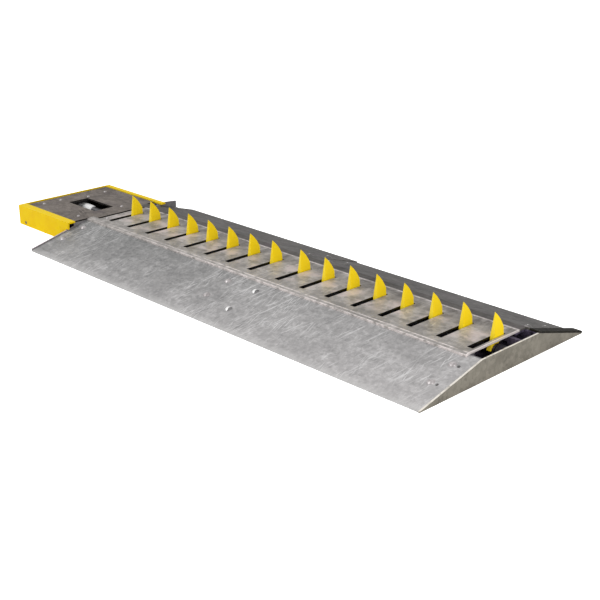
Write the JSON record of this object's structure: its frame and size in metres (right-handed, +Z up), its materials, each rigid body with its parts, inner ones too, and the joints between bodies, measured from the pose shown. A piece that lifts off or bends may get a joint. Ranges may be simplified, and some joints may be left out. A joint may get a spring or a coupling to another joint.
{
  "type": "tyre spike strip",
  "caption": "Surface-mounted road spike strip with folding yellow spikes in a slotted steel deck, ramps and a drive box.",
  "frame": {"origin": "middle of the footprint, on the road surface", "axes": "+X along the strip from the drive box to the plain end, -Y the way traffic that is let through drives, +Z up"},
  "size_m": [2.16, 0.756, 0.1485],
  "materials": {
    "spike_paint": "gloss yellow paint",
    "yellow_box_paint": "gloss yellow paint",
    "deck_galvanised": "satin galvanised, worn smooth",
    "ramp_galvanised": "mottled hot-dip galvanised",
    "dark_galvanised": "dark weathered galvanised",
    "frame_galvanised": "dull galvanised",
    "dark_paint": "matt dark primer",
    "zinc_fastener": "bright zinc plated",
    "bright_zinc": "bright plated",
    "shaft_steel": "turned steel",
    "spring_steel": "oiled spring steel",
    "bush_bronze": "sintered bronze",
    "dark_hub_steel": "dark oily cast iron",
    "dark_interior": "dark mottled primer, weathered",
    "black_rubber": "matt"
  },
  "bodies": {
    "frame_body": {"back_infill_plate": "dark_paint", "back_rail_1": "dark_interior", "back_rail_2": "dark_interior", "back_ramp_1": "dark_galvanised", "back_ramp_2": "dark_galvanised", "back_ramp_bolts": "zinc_fastener", "back_ramp_ribs": "frame_galvanised", "base_plate_1": "dark_interior", "base_plate_2": "dark_interior", "bearing_blocks": "dark_hub_steel", "bearing_bolts": "zinc_fastener", "bearing_bushes": "bush_bronze", "box_back_plate": "yellow_box_paint", "box_cover": "dark_galvanised", "box_cover_bolts": "zinc_fastener", "box_cover_supports": "dark_interior", "box_floor": "dark_interior", "box_front_plate": "yellow_box_paint", "box_left_plate": "yellow_box_paint", "box_side_bolt": "frame_galvanised", "deck_plate_1": "deck_galvanised", "deck_plate_2": "deck_galvanised", "deck_screw": "zinc_fastener", "front_rail_1": "frame_galvanised", "front_rail_2": "frame_galvanised", "front_ramp_1": "ramp_galvanised", "front_ramp_2": "ramp_galvanised", "front_ramp_bolts": "zinc_fastener", "front_ramp_ribs": "frame_galvanised", "left_end_plate": "ramp_galvanised", "return_springs_1": "spring_steel", "return_springs_2": "spring_steel", "right_end_plate": "ramp_galvanised", "stop_bar_1": "dark_interior", "stop_bar_2": "dark_interior", "stop_pads": "black_rubber"},
    "spike_rotor": {"coupling_bolts": "zinc_fastener", "drive_hub": "bright_zinc", "shaft_collars": "shaft_steel", "shaft_coupling": "shaft_steel", "spike_01": "spike_paint", "spike_02": "spike_paint", "spike_03": "spike_paint", "spike_04": "spike_paint", "spike_05": "spike_paint", "spike_06": "spike_paint", "spike_07": "spike_paint", "spike_08": "spike_paint", "spike_09": "spike_paint", "spike_10": "spike_paint", "spike_11": "spike_paint", "spike_12": "spike_paint", "spike_13": "spike_paint", "spike_14": "spike_paint", "spike_15": "spike_paint", "spike_16": "spike_paint", "spike_hubs": "dark_hub_steel", "spike_set_screws": "zinc_fastener", "spike_shaft_1": "shaft_steel", "spike_shaft_2": "shaft_steel"}
  },
  "joints": [
    {"name": "spike_shaft_turn", "type": "hinge", "parent": "frame_body", "child": "spike_rotor", "pos_m": [0, 0.024, 0.035], "axis": [1, 0, 0], "range_deg": [0, 90], "stiffness_Nm_per_rad": 4, "springref_deg": -28.65, "deforming": ["return_springs_1", "return_springs_2"]}
  ]
}
